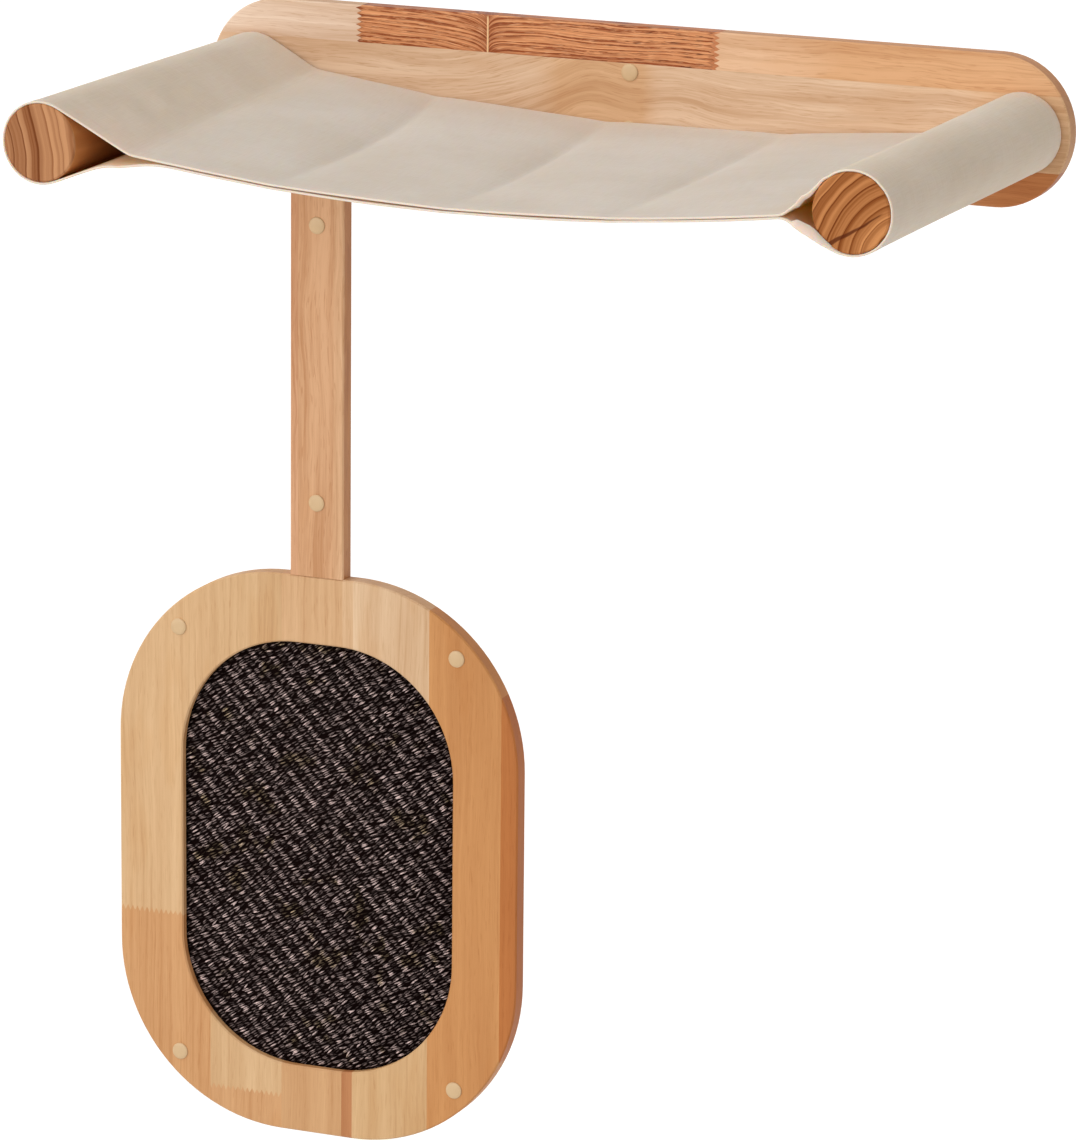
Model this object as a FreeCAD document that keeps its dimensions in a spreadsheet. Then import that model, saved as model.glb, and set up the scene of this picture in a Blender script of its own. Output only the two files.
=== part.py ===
import FreeCAD, Part
import math
import os
import Sketcher

# Wall hammock for a cat, with a post and a framed scratching mat. All sizes are in millimetres.
#
# The wall is the plane Y = 0 and the object stands out of it towards -Y. X runs along the
# backboard and Z is up. The origin is on the back face of the backboard, midway between the
# two support rods. The canvas sling slides off the rods towards -Y.

Vector = FreeCAD.Vector
PARTS_FOLDER = "parts"
QUARTER_TURN = 90.0

SIZES = [
    ("board_thickness", 12.0, "backboard, post and scratcher frame"),
    ("edge_bevel", 1.0, "bevel of the visible wood edges"),
    ("backboard_length", 610.0, "over the full-round ends"),
    ("backboard_height", 100.0, "also the diameter of the round ends"),
    ("rod_diameter", 50.0, "support rods"),
    ("rod_length", 312.0, "from the front of the backboard"),
    ("rod_spacing", 546.0, "between the two rod axes"),
    ("post_width", 40.0, "flat post"),
    ("post_length", 296.0, "between backboard and scratcher frame"),
    ("post_offset", 226.5, "post and scratcher axis, left of the origin"),
    ("frame_width", 302.0, "scratcher frame"),
    ("frame_height", 399.0, "scratcher frame"),
    ("frame_corner", 124.0, "outer corner radius of the scratcher frame"),
    ("opening_width", 205.0, "cut-out that shows the mat"),
    ("opening_height", 304.0, "cut-out that shows the mat"),
    ("opening_corner", 87.0, "corner radius of the cut-out"),
    ("lip_thickness", 5.2, "wood left in front of the mat"),
    ("rebate_margin", 9.0, "width of the rebate round the cut-out"),
    ("rebate_clearance", 0.25, "gap round the mat and its backing board"),
    ("backing_thickness", 3.0, "plywood behind the mat"),
    ("wall_hole", 5.0, "clearance hole of a wall screw"),
    ("counterbore_diameter", 10.5, "seat of a wall screw head and its cap"),
    ("counterbore_depth", 6.5, "from the front face"),
    ("backboard_hole_spacing", 38.0, "vertical pair in the middle of the backboard"),
    ("post_hole_inset", 52.0, "from each end of the post"),
    ("frame_hole_width", 210.0, "rectangle of four holes in the frame"),
    ("frame_hole_height", 307.0, "rectangle of four holes in the frame"),
    ("wall_screw_head", 9.0, "diameter of the screw head"),
    ("wall_screw_head_height", 3.2, "height of the screw head"),
    ("wall_screw_neck", 3.4, "plain neck where the screw goes through the board"),
    ("wall_screw_shank", 4.5, "threaded shank behind the board"),
    ("long_screw", 45.0, "under the head; holds the backboard, which carries the cat"),
    ("short_screw", 25.0, "under the head; holds the post and the scratcher frame"),
    ("cap_diameter", 11.8, "flange of a screw cap"),
    ("cap_height", 1.3, "flange above the wood"),
    ("cap_plug", 10.5, "plug of a screw cap, the size of its counterbore"),
    ("cap_plug_length", 2.8, "plug below the flange"),
    ("bolt_diameter", 8.0, "machine bolt of a support rod"),
    ("bolt_length", 38.0, "over the countersunk head"),
    ("bolt_head", 15.6, "countersunk head diameter"),
    ("bolt_socket", 5.0, "hexagon key size"),
    ("bolt_socket_depth", 3.0, "hexagon socket"),
    ("bolt_hole", 8.4, "clearance hole in the backboard"),
    ("insert_diameter", 12.0, "threaded insert in a rod"),
    ("insert_length", 22.0, "threaded insert in a rod"),
    ("rod_bore_depth", 29.0, "room for the end of the bolt"),
    ("canvas_thickness", 1.2, "one layer of the sling"),
    ("sling_width", 308.0, "from back hem to front hem"),
    ("sling_gap", 2.0, "between backboard and back hem"),
    ("sleeve_clearance", 0.5, "between rod and canvas"),
    ("left_seam_reach", 57.0, "from the left rod axis to its seam"),
    ("left_seam_drop", 2.0, "of that seam below the rod axis"),
    ("right_seam_reach", 44.0, "from the right rod axis to its seam"),
    ("right_seam_drop", 4.5, "of that seam below the rod axis"),
    ("right_hug_angle", 58.0, "how far the slack sleeve leaves the rod before the seam side"),
    ("seam_allowance", 5.0, "both canvas edges flat on each other"),
    ("seat_sag", 15.0, "middle of the seat below its seams"),
    ("lining_slack", 2.0, "extra sag of the lower layer"),
    ("panel_crown", 1.0, "rise of the upper layer between two folds"),
    ("left_fold_skew", 22.0, "back end of the fold left of its front end"),
    ("middle_fold_skew", 20.0, "back end of the fold left of its front end"),
    ("right_fold_skew", 4.0, "back end of the fold left of its front end"),
]

# Places that several pieces share, as expressions on the sheet.
HALF_ROD_SPACING = "sizes.rod_spacing / 2"
POST_X = "-sizes.post_offset"
POST_Z = "-(sizes.backboard_height + sizes.post_length) / 2"
FRAME_Z = "-(sizes.backboard_height + sizes.frame_height) / 2 - sizes.post_length"
SCREW_SEAT_Y = "sizes.counterbore_depth - sizes.board_thickness"
FRONT_Y = "-sizes.board_thickness"
REBATE_DEPTH = "sizes.board_thickness - sizes.lip_thickness"

# Diameter and depth of the two bores in the rear end of a rod.
BORES = {
    "insert": ("sizes.insert_diameter", "sizes.insert_length"),
    "bolt": ("sizes.bolt_hole", "sizes.rod_bore_depth"),
}

document = FreeCAD.newDocument("wall_hammock")
sheet = document.addObject("Spreadsheet::Sheet", "sizes")
nodes = []


def fill_sheet():
    for row, (alias, number, note) in enumerate(SIZES, start=1):
        sheet.set("A%d" % row, note)
        sheet.set("B%d" % row, str(number))
        sheet.setAlias("B%d" % row, alias)
    document.recompute()


def size(alias):
    return float(sheet.get(alias))


def evaluate(expression):
    result = sheet.evalExpression(expression)
    return float(getattr(result, "Value", result))


def place(thing, x="0", y="0", z="0"):
    for axis, expression in (("x", x), ("y", y), ("z", z)):
        if expression != "0":
            thing.setExpression("Placement.Base." + axis, expression)


def add_node(thing, label):
    thing.Label = label
    nodes.append(thing)
    return thing


# Sketches


def new_sketch(body, name, role="XZ_Plane", offset=None):
    """A sketch on one of the body's own planes. The XZ plane's normal points to -Y."""
    sketch = body.newObject("Sketcher::SketchObject", name)
    plane = next(item for item in body.Origin.OriginFeatures if item.Role == role)
    sketch.AttachmentSupport = [(plane, "")]
    sketch.MapMode = "FlatFace"
    if offset:
        sketch.setExpression("AttachmentOffset.Base.z", offset)
    return sketch


def bind(sketch, kind, where, name, expression):
    """Adds a dimension to a sketch and ties it to the sheet."""
    index = sketch.addConstraint(Sketcher.Constraint(kind, *where, evaluate(expression)))
    sketch.renameConstraint(index, name)
    sketch.setExpression("Constraints." + name, expression)


def pin_point(sketch, where, name, x, y):
    """Holds a point of the sketch at x, y. A plain 0 keeps it on the axis."""
    for kind, axis_line, expression in (("DistanceX", -2, x), ("DistanceY", -1, y)):
        if expression == "0":
            sketch.addConstraint(Sketcher.Constraint("PointOnObject", *where, axis_line))
        else:
            bind(sketch, kind, (-1, 1) + where, name + kind[-1], expression)


def draw_circles(sketch, diameter, centres):
    for number, (x, y) in enumerate(centres):
        middle = Vector(evaluate(x), evaluate(y), 0)
        circle = Part.Circle(middle, Vector(0, 0, 1), evaluate(diameter) / 2)
        index = sketch.addGeometry(circle)
        pin_point(sketch, (index, 3), "centre%d" % number, x, y)
        bind(sketch, "Diameter", (index,), "diameter%d" % number, diameter)


def draw_outline(sketch, width, height, radius):
    """A rectangle with rounded corners, centred on the sketch's origin."""
    half_x = evaluate(width) / 2
    half_y = evaluate(height) / 2
    corner = evaluate(radius)
    lines = []
    arcs = []
    for quadrant, (side_x, side_y) in enumerate(((1, 1), (-1, 1), (-1, -1), (1, -1))):
        middle = Vector(side_x * (half_x - corner), side_y * (half_y - corner), 0)
        start = math.radians(QUARTER_TURN * quadrant)
        circle = Part.Circle(middle, Vector(0, 0, 1), corner)
        arcs.append(sketch.addGeometry(Part.ArcOfCircle(circle, start, start + math.pi / 2)))
    for quadrant in range(4):
        begin = sketch.getPoint(arcs[quadrant], 2)
        end = sketch.getPoint(arcs[(quadrant + 1) % 4], 1)
        lines.append(sketch.addGeometry(Part.LineSegment(begin, end)))
    for quadrant in range(4):
        following = arcs[(quadrant + 1) % 4]
        direction = "Vertical" if quadrant % 2 else "Horizontal"
        sketch.addConstraint(Sketcher.Constraint("Tangent", arcs[quadrant], 2, lines[quadrant], 1))
        sketch.addConstraint(Sketcher.Constraint("Tangent", lines[quadrant], 2, following, 1))
        sketch.addConstraint(Sketcher.Constraint(direction, lines[quadrant]))
        if quadrant:
            sketch.addConstraint(Sketcher.Constraint("Equal", arcs[0], arcs[quadrant]))
    sketch.addConstraint(Sketcher.Constraint("Symmetric", arcs[0], 3, arcs[2], 3, -1, 1))
    bind(sketch, "Radius", (arcs[0],), "corner", radius)
    bind(sketch, "DistanceX", (arcs[2], 3, arcs[0], 3), "width", "%s - 2 * (%s)" % (width, radius))
    bind(sketch, "DistanceY", (arcs[2], 3, arcs[0], 3), "height", "%s - 2 * (%s)" % (height, radius))


def draw_stadium(sketch, length, height):
    """Two straight sides and two full-round ends, centred on the sketch's origin."""
    radius = evaluate(height) / 2
    reach = evaluate(length) / 2 - radius
    up = Vector(0, 0, 1)
    right = Part.ArcOfCircle(Part.Circle(Vector(reach, 0, 0), up, radius), -math.pi / 2, math.pi / 2)
    left = Part.ArcOfCircle(Part.Circle(Vector(-reach, 0, 0), up, radius), math.pi / 2, 1.5 * math.pi)
    top = Part.LineSegment(Vector(reach, radius, 0), Vector(-reach, radius, 0))
    bottom = Part.LineSegment(Vector(-reach, -radius, 0), Vector(reach, -radius, 0))
    ring = [sketch.addGeometry(piece) for piece in (right, top, left, bottom)]
    for number, piece in enumerate(ring):
        following = ring[(number + 1) % 4]
        sketch.addConstraint(Sketcher.Constraint("Tangent", piece, 2, following, 1))
    sketch.addConstraint(Sketcher.Constraint("Horizontal", ring[1]))
    sketch.addConstraint(Sketcher.Constraint("Symmetric", ring[0], 3, ring[2], 3, -1, 1))
    bind(sketch, "Radius", (ring[0],), "end", height + " / 2")
    bind(sketch, "DistanceX", (ring[2], 3, ring[0], 3), "reach", "%s - %s" % (length, height))


def draw_profile(sketch, corners):
    """A closed outline of straight sides, each corner held by a pair of expressions."""
    points = [Vector(evaluate(x), evaluate(y), 0) for x, y in corners]
    count = len(points)
    for number in range(count):
        sketch.addGeometry(Part.LineSegment(points[number], points[(number + 1) % count]))
    for number in range(count):
        sketch.addConstraint(Sketcher.Constraint("Coincident", number, 2, (number + 1) % count, 1))
    for number, (x, y) in enumerate(corners):
        pin_point(sketch, (number, 1), "corner%d" % number, x, y)


# Features


def pad(body, sketch, length):
    feature = body.newObject("PartDesign::Pad", "pad")
    feature.Profile = sketch
    feature.setExpression("Length", length)
    document.recompute()


def cut(body, feature):
    """Finishes a cutting feature and makes sure that it took something away."""
    before = body.Shape.Volume
    document.recompute()
    if body.Shape.Volume >= before:
        raise RuntimeError("%s cuts nothing from %s" % (feature.Name, body.Label))


def pocket(body, sketch, depth, away=False):
    """Cuts against the sketch's normal, or along it where away is true. No depth is all through."""
    feature = body.newObject("PartDesign::Pocket", "pocket")
    feature.Profile = sketch
    feature.Reversed = away
    if depth:
        feature.setExpression("Length", depth)
    else:
        feature.Type = "ThroughAll"
    cut(body, feature)


def screw_holes(body, name, offset, centres, diameter, seat, seat_diameter, seat_depth, away):
    """Through holes with a counterbored or countersunk seat at the sketch's side."""
    sketch = new_sketch(body, name, offset=offset)
    draw_circles(sketch, diameter, centres)
    document.recompute()
    feature = body.newObject("PartDesign::Hole", name + "_holes")
    feature.Profile = sketch
    feature.ThreadType = "None"
    feature.setExpression("Diameter", diameter)
    feature.DepthType = "ThroughAll"
    feature.HoleCutType = seat
    feature.HoleCutCustomValues = True
    feature.setExpression("HoleCutDiameter", seat_diameter)
    if seat_depth:
        feature.setExpression("HoleCutDepth", seat_depth)
    feature.Reversed = away
    cut(body, feature)


def wall_holes(body, centres):
    screw_holes(
        body, "wall_screw", "sizes.board_thickness", centres, "sizes.wall_hole",
        "Counterbore", "sizes.counterbore_diameter", "sizes.counterbore_depth", False,
    )


def bevel_edges(body, test):
    """Bevels the edges of the body whose every end and middle passes the test."""
    base = body.Tip
    names = []
    for number, edge in enumerate(base.Shape.Edges, start=1):
        middle = edge.valueAt((edge.FirstParameter + edge.LastParameter) / 2)
        if all(test(point) for point in [vertex.Point for vertex in edge.Vertexes] + [middle]):
            names.append("Edge%d" % number)
    feature = body.newObject("PartDesign::Chamfer", "bevelled_edges")
    feature.Base = (base, names)
    feature.setExpression("Size", "sizes.edge_bevel")
    document.recompute()


def at_front(point):
    return abs(point.y + size("board_thickness")) < 0.01


def new_body(label):
    return document.addObject("PartDesign::Body", label)


def revolve(label, corners):
    """A turned piece: the outline's x is the radius and its y runs along the body's Y axis."""
    body = new_body(label)
    sketch = new_sketch(body, label + "_profile", "XY_Plane")
    draw_profile(sketch, corners)
    feature = body.newObject("PartDesign::Revolution", label + "_turned")
    feature.Profile = sketch
    feature.ReferenceAxis = (sketch, ["V_Axis"])
    feature.Angle = 360
    document.recompute()
    return body


def group(label, master, places):
    """Copies of one piece, each a solid of its own, under one label."""
    copies = []
    for number, (x, y, z) in enumerate(places, start=1):
        copy = document.addObject("App::Link", "%s_%d" % (label, number))
        copy.LinkedObject = master
        place(copy, x, y, z)
        copies.append(copy)
    compound = document.addObject("Part::Compound", label)
    compound.Links = copies
    return add_node(compound, label)


# Places of the holes, shared by the boards and by what goes in them


def mirrored(x):
    return "-(%s)" % x


def corners_of(x, z):
    return [(x, z), (mirrored(x), z), (mirrored(x), mirrored(z)), (x, mirrored(z))]


def frame_four():
    return corners_of("sizes.frame_hole_width / 2", "sizes.frame_hole_height / 2")


def backboard_pair():
    z = "sizes.backboard_hole_spacing / 2"
    return [("0", z), ("0", mirrored(z))]


def post_pair():
    z = "sizes.post_length / 2 - sizes.post_hole_inset"
    return [("0", z), ("0", mirrored(z))]


def moved(places, x, y, z):
    """The same places in the whole object's frame, at the depth y."""
    return [("%s + %s" % (a, x), y, "%s + %s" % (b, z)) for a, b in places]


# Boards


def make_backboard():
    body = new_body("backboard")
    sketch = new_sketch(body, "backboard_outline")
    draw_stadium(sketch, "sizes.backboard_length", "sizes.backboard_height")
    pad(body, sketch, "sizes.board_thickness")
    bevel_edges(body, at_front)
    wall_holes(body, backboard_pair())
    rods = [(HALF_ROD_SPACING, "0"), (mirrored(HALF_ROD_SPACING), "0")]
    screw_holes(
        body, "rod_bolt", None, rods, "sizes.bolt_hole",
        "Countersink", "sizes.bolt_head", None, True,
    )
    return add_node(body, "backboard")


def make_post():
    body = new_body("post")
    sketch = new_sketch(body, "post_outline")
    draw_profile(sketch, corners_of("sizes.post_width / 2", "sizes.post_length / 2"))
    pad(body, sketch, "sizes.board_thickness")
    half_width = size("post_width") / 2
    bevel_edges(body, lambda point: at_front(point) and abs(abs(point.x) - half_width) < 0.01)
    wall_holes(body, post_pair())
    place(body, x=POST_X, z=POST_Z)
    return add_node(body, "post")


def make_scratcher_frame():
    body = new_body("scratcher_frame")
    outline = new_sketch(body, "frame_outline")
    draw_outline(outline, "sizes.frame_width", "sizes.frame_height", "sizes.frame_corner")
    pad(body, outline, "sizes.board_thickness")
    opening = new_sketch(body, "opening_outline", offset="sizes.board_thickness")
    draw_outline(opening, "sizes.opening_width", "sizes.opening_height", "sizes.opening_corner")
    pocket(body, opening, None)
    bevel_edges(body, at_front)
    rebate = new_sketch(body, "rebate_outline")
    draw_rebate(rebate, "0")
    pocket(body, rebate, REBATE_DEPTH, True)
    wall_holes(body, frame_four())
    place(body, x=POST_X, z=FRAME_Z)
    return add_node(body, "scratcher_frame")


def draw_rebate(sketch, clearance):
    """The cut-out's outline, wider all round by the rebate's margin less a clearance."""
    grow = "(sizes.rebate_margin - %s)" % clearance
    draw_outline(
        sketch,
        "sizes.opening_width + 2 * " + grow,
        "sizes.opening_height + 2 * " + grow,
        "sizes.opening_corner + " + grow,
    )


def make_rebate_layer(label, offset, thickness):
    """A flat piece that fills the rebate, glued in from the back."""
    body = new_body(label)
    sketch = new_sketch(body, label + "_outline", offset=offset)
    draw_rebate(sketch, "sizes.rebate_clearance")
    pad(body, sketch, thickness)
    place(body, x=POST_X, z=FRAME_Z)
    return add_node(body, label)


# Support rods and what holds them


def make_rod(label, x):
    body = new_body(label)
    sketch = new_sketch(body, label + "_section", offset="sizes.board_thickness")
    draw_circles(sketch, "sizes.rod_diameter", [("0", "0")])
    pad(body, sketch, "sizes.rod_length")
    front = -size("board_thickness") - size("rod_length")
    bevel_edges(body, lambda point: abs(point.y - front) < 0.01)
    for name in ("insert", "bolt"):
        bore = new_sketch(body, "%s_%s_bore" % (label, name), offset="sizes.board_thickness")
        draw_circles(bore, BORES[name][0], [("0", "0")])
        pocket(body, bore, BORES[name][1], True)
    place(body, x=x)
    return add_node(body, label)


def make_rod_fixings():
    both = (mirrored(HALF_ROD_SPACING), HALF_ROD_SPACING)
    head = "sizes.bolt_head / 2"
    shank = "sizes.bolt_diameter / 2"
    bolt = revolve("rod_bolt", [
        ("0", "0"), (head, "0"), (shank, "%s - %s" % (shank, head)),
        (shank, "-sizes.bolt_length"), ("0", "-sizes.bolt_length"),
    ])
    socket = new_sketch(bolt, "hexagon_socket")
    draw_hexagon(socket, "sizes.bolt_socket / cos(30) / 2")
    pocket(bolt, socket, "sizes.bolt_socket_depth", True)
    group("dowel_bolts", bolt, [(x, "0", "0") for x in both])

    outer = "sizes.insert_diameter / 2"
    insert = revolve("rod_insert", [
        (shank, "0"), (outer, "0"), (outer, "-sizes.insert_length"), (shank, "-sizes.insert_length"),
    ])
    group("dowel_insert_nuts", insert, [(x, FRONT_Y, "0") for x in both])


def draw_hexagon(sketch, radius):
    turns = [60 * number for number in range(6)]
    draw_profile(sketch, [
        ("%s * cos(%d)" % (radius, turn), "0" if turn % 180 == 0 else "%s * sin(%d)" % (radius, turn))
        for turn in turns
    ])


# Screws and caps


def wall_screw(label, length):
    """A pan-head screw along +Y, its head's seat on its own origin."""
    head = "sizes.wall_screw_head / 2"
    neck = "sizes.wall_screw_neck / 2"
    shank = "sizes.wall_screw_shank / 2"
    wall = mirrored(SCREW_SEAT_Y)
    return revolve(label, [
        ("0", "-sizes.wall_screw_head_height"), (head, "-sizes.wall_screw_head_height"), (head, "0"),
        (neck, "0"), (neck, wall), (shank, wall), (shank, length), ("0", length),
    ])


def make_wall_screws_and_caps():
    rim = "sizes.cap_diameter / 2"
    plug = "sizes.cap_plug / 2"
    cap = revolve("screw_cap", [
        ("0", "-sizes.cap_height"), (rim, "-sizes.cap_height"), (rim, "0"),
        (plug, "0"), (plug, "sizes.cap_plug_length"), ("0", "sizes.cap_plug_length"),
    ])
    long_screw = wall_screw("long_wall_screw", "sizes.long_screw")
    short_screw = wall_screw("short_wall_screw", "sizes.short_screw")
    boards = (
        ("backboard", long_screw, backboard_pair(), "0", "0"),
        ("post", short_screw, post_pair(), POST_X, POST_Z),
        ("frame", short_screw, frame_four(), POST_X, FRAME_Z),
    )
    for name, screw, places, x, z in boards:
        group(name + "_wall_screws", screw, moved(places, x, SCREW_SEAT_Y, z))
        group(name + "_screw_caps", cap, moved(places, x, FRONT_Y, z))


# Canvas sling: two sleeves round the rods and a seat of two sagging layers between them


def spot(x, z, y=0.0):
    return Vector(x, y, z)


def arc_along(start, direction, end):
    """The arc that leaves start along a direction and arrives at end."""
    chord = end - start
    tangent = Vector(direction).normalize()
    normal = Vector(-tangent.z, 0, tangent.x)
    radius = chord.dot(chord) / (2 * chord.dot(normal))
    centre = start + normal * radius
    inward = (start + end) / 2 - centre
    return Part.Arc(start, centre + inward.normalize() * abs(radius), end).toShape()


def sleeve_half(centre, radius, seam, far, hug, turn):
    """Half of a sleeve's line: from the seam to the rod and round it to the far side.

    hug is the angle on the rod, from the seam's side, at which the canvas leaves it; None
    pulls the canvas straight from the seam. turn is 1 where the angle grows towards far.
    """
    towards = seam - centre
    heading = math.atan2(towards.z, towards.x)
    leave = math.acos(radius / towards.Length) if hug is None else math.radians(hug)
    angle = heading + turn * leave
    touch = centre + spot(math.cos(angle), math.sin(angle)) * radius
    halfway = heading + turn * (leave + math.pi) / 2
    beyond = centre + spot(math.cos(halfway), math.sin(halfway)) * radius
    if hug is None:
        free = Part.makeLine(seam, touch)
    else:
        free = arc_along(touch, spot(math.sin(angle), -math.cos(angle)) * turn, seam)
    return [free, Part.Arc(touch, beyond, far).toShape()]


def closed_face(edges):
    return Part.Face(Part.Wire(Part.__sortEdges__(edges)))


def make_sleeve(label, side, reach, drop, hug):
    """A loop of canvas round a rod whose two edges lie on each other at the seam."""
    thick = size("canvas_thickness")
    radius = size("rod_diameter") / 2 + size("sleeve_clearance")
    centre = spot(side * size("rod_spacing") / 2, 0)
    seam = spot(centre.x - side * reach, -drop)
    tail = spot(seam.x - side * size("seam_allowance"), seam.z)
    inner_far = centre + spot(side * radius, 0)
    outer_far = centre + spot(side * (radius + thick), 0)
    inner = []
    outer = [Part.makeLine(tail + spot(0, thick), tail - spot(0, thick))]
    for up in (1, -1):
        edge = spot(0, up * thick)
        inner += sleeve_half(centre, radius, seam, inner_far, hug, -side * up)
        outer += sleeve_half(centre, radius + thick, seam + edge, outer_far, hug, -side * up)
        outer.append(Part.makeLine(seam + edge, tail + edge))
    section = closed_face(outer).cut(closed_face(inner))
    add_canvas(label, section.extrude(Vector(0, -size("sling_width"), 0)).Solids[0])
    return tail


def fold_line(left, right, skewed, extra_sag):
    """The seat's upper line: its two ends and the three folds, on a sagging curve."""
    skews = ("left_fold_skew", "middle_fold_skew", "right_fold_skew")
    span = right.x - left.x
    points = [left]
    for number, skew in enumerate(skews, start=1):
        x = left.x + span * number / 4 - skewed * size(skew)
        share = (x - left.x) / span
        chord = left.z + (right.z - left.z) * share
        points.append(spot(x, chord - (size("seat_sag") + extra_sag) * 4 * share * (1 - share)))
    return points + [right]


def panels(points, crown):
    """From fold to fold: arcs raised a little over their chords, or straight lines."""
    edges = []
    for start, end in zip(points, points[1:]):
        if crown:
            edges.append(Part.Arc(start, (start + end) / 2 + spot(0, crown), end).toShape())
        else:
            edges.append(Part.makeLine(start, end))
    return edges


def seat_section(left, right, y, extra_sag, skewed, crown):
    thick = size("canvas_thickness")
    upper = [point + spot(0, 0, y) for point in fold_line(left, right, skewed, extra_sag)]
    lower = [point - spot(0, thick) for point in upper]
    ends = [Part.makeLine(upper[0], lower[0]), Part.makeLine(upper[-1], lower[-1])]
    return Part.Wire(Part.__sortEdges__(panels(upper, crown) + panels(lower, crown) + ends))


def make_seat_layer(label, left, right, extra_sag, crown):
    front = seat_section(left, right, -size("sling_width"), extra_sag, 0, crown)
    back = seat_section(left, right, 0.0, extra_sag, 1, crown)
    add_canvas(label, Part.makeLoft([front, back], True, True))


def add_canvas(label, solid):
    feature = document.addObject("Part::Feature", label)
    feature.Shape = solid
    feature.Placement = FreeCAD.Placement(
        spot(0, 0, -size("board_thickness") - size("sling_gap")), FreeCAD.Rotation()
    )
    add_node(feature, label)


def make_sling():
    left = make_sleeve("left_sleeve", -1, size("left_seam_reach"), size("left_seam_drop"), None)
    right = make_sleeve(
        "right_sleeve", 1, size("right_seam_reach"), size("right_seam_drop"), size("right_hug_angle")
    )
    thick = spot(0, size("canvas_thickness"))
    make_seat_layer("sling_upper_layer", left + thick, right + thick, 0.0, size("panel_crown"))
    make_seat_layer("sling_lower_layer", left, right, size("lining_slack"), 0.0)


def check_and_export():
    """Every object has to be sound before anything is written."""
    document.recompute()
    for item in document.Objects:
        if "Invalid" in item.State or "Error" in item.State:
            raise RuntimeError("%s failed: %s" % (item.Name, item.State))
    for node in nodes:
        if node.Shape.isNull() or not node.Shape.isValid() or not node.Shape.Solids:
            raise RuntimeError(node.Label + " has no sound shape")
    os.makedirs(PARTS_FOLDER, exist_ok=True)
    for node in nodes:
        node.Shape.exportStep(os.path.join(PARTS_FOLDER, node.Label + ".step"))
        print("%-22s %d solids %10.0f mm3" % (node.Label, len(node.Shape.Solids), node.Shape.Volume))


fill_sheet()
make_backboard()
make_rod("left_dowel", mirrored(HALF_ROD_SPACING))
make_rod("right_dowel", HALF_ROD_SPACING)
make_rod_fixings()
make_post()
make_scratcher_frame()
make_rebate_layer("scratch_mat", "sizes.backing_thickness", REBATE_DEPTH + " - sizes.backing_thickness")
make_rebate_layer("mat_backing_board", None, "sizes.backing_thickness")
make_wall_screws_and_caps()
make_sling()
check_and_export()
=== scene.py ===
import itertools
import math

import bpy
import numpy as np
from mathutils import Matrix, Vector


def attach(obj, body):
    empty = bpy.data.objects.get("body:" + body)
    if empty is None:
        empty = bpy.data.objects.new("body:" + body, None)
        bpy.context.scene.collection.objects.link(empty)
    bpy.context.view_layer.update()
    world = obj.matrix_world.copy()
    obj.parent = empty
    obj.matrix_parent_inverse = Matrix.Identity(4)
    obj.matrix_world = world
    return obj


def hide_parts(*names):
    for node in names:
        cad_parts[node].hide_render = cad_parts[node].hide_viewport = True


# Looks of a wall hammock for a cat with a framed scratching mat. The wall is the plane y = 0, the
# object stands out of it towards -y, and x runs along the backboard. Sizes are in millimetres and
# are turned into metres where a mesh is made.

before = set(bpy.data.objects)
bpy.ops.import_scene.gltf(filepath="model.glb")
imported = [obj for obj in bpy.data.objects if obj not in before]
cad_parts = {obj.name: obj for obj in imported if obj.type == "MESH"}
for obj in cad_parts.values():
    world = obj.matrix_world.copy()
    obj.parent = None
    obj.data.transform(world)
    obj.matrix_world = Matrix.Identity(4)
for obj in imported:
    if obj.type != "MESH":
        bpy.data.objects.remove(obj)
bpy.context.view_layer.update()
MM = 0.001


def srgb(red, green, blue):
    """A colour given as seen on a screen, 0 to 255, as linear values."""
    def linear(value):
        value /= 255
        return value / 12.92 if value <= 0.04045 else ((value + 0.055) / 1.055) ** 2.4
    return (linear(red), linear(green), linear(blue), 1.0)


# ---------------------------------------------------------------- shader graphs


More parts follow.
